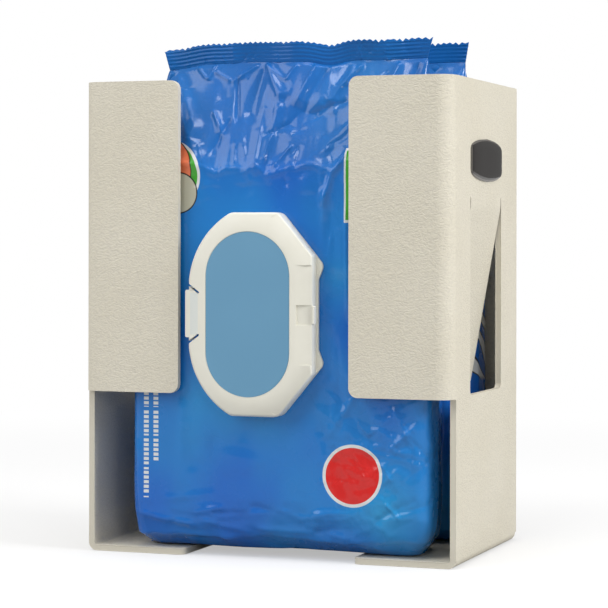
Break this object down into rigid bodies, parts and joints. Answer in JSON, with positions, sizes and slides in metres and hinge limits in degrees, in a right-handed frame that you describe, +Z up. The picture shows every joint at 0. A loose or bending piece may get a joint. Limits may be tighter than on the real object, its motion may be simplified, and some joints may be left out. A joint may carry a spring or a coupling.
{
  "type": "wall dispenser for soft packs",
  "caption": "Open-front wall holder bent from plastic sheet, with spring tongues in its sides, loaded with soft film packs of folded cloths under flip-top lids.",
  "frame": {"origin": "centre of the holder's plan on the surface that it stands on, at the underside of the floor flanges", "axes": "+X to the holder's right seen from the front, +Y towards the wall behind the back panel, +Z up"},
  "size_m": [0.2092, 0.1385, 0.2744],
  "materials": {
    "holder_sheet": "leather-grained thermoformed sheet, warm light grey",
    "badge_print": "near-black printed film",
    "badge_resin": "clear domed resin over the near-black print",
    "pack_film": "glossy printed laminate film, blue, creased",
    "cloth": "moist white non-woven cloth",
    "adhesive": "thin hot-melt adhesive",
    "closure_moulding": "ivory polypropylene moulding",
    "lid_label": "plain light blue label film"
  },
  "bodies": {
    "holder": {"holder_shell": "holder_sheet", "badge_plate": "badge_print", "badge_dome": "badge_resin"},
    "left_tongue": {"left_tongue": "holder_sheet"},
    "right_tongue": {"right_tongue": "holder_sheet"},
    "front_pack": {"front_pouch": "pack_film", "front_top_seal": "pack_film", "front_bottom_seal": "pack_film", "front_back_seam": "pack_film", "front_cloth_stack": "cloth", "front_first_cloth": "cloth", "front_bond_ring": "adhesive", "front_closure_base": "closure_moulding"},
    "front_lid": {"front_lid": "closure_moulding", "front_lid_label": "lid_label", "front_snap_spring": "closure_moulding"},
    "rear_pack": {"rear_pouch": "pack_film", "rear_top_seal": "pack_film", "rear_bottom_seal": "pack_film", "rear_back_seam": "pack_film", "rear_cloth_stack": "cloth", "rear_first_cloth": "cloth", "rear_bond_ring": "adhesive", "rear_closure_base": "closure_moulding", "rear_lid": "closure_moulding", "rear_lid_label": "lid_label", "rear_snap_spring": "closure_moulding"}
  },
  "joints": [
    {"name": "front_pack_lift", "type": "slide", "parent": "holder", "child": "front_pack", "axis": [0, 0, 1], "range_m": [0, 0.26]},
    {"name": "rear_pack_lift", "type": "slide", "parent": "holder", "child": "rear_pack", "axis": [0, 0, 1], "range_m": [0, 0.26]},
    {"name": "front_lid_hinge", "type": "hinge", "parent": "front_pack", "child": "front_lid", "pos_m": [0.0291, -0.0654, 0.1298], "axis": [0, 0, 1], "range_deg": [0, 110]},
    {"name": "left_tongue_flex", "type": "hinge", "parent": "holder", "child": "left_tongue", "pos_m": [-0.10222, 0, 0.1876], "axis": [0, 1, 0], "range_deg": [0, 10], "stiffness_Nm_per_rad": 2, "springref_deg": -1.72},
    {"name": "right_tongue_flex", "type": "hinge", "parent": "holder", "child": "right_tongue", "pos_m": [0.10222, 0, 0.1876], "axis": [0, -1, 0], "range_deg": [0, 10], "stiffness_Nm_per_rad": 2, "springref_deg": -1.72}
  ]
}
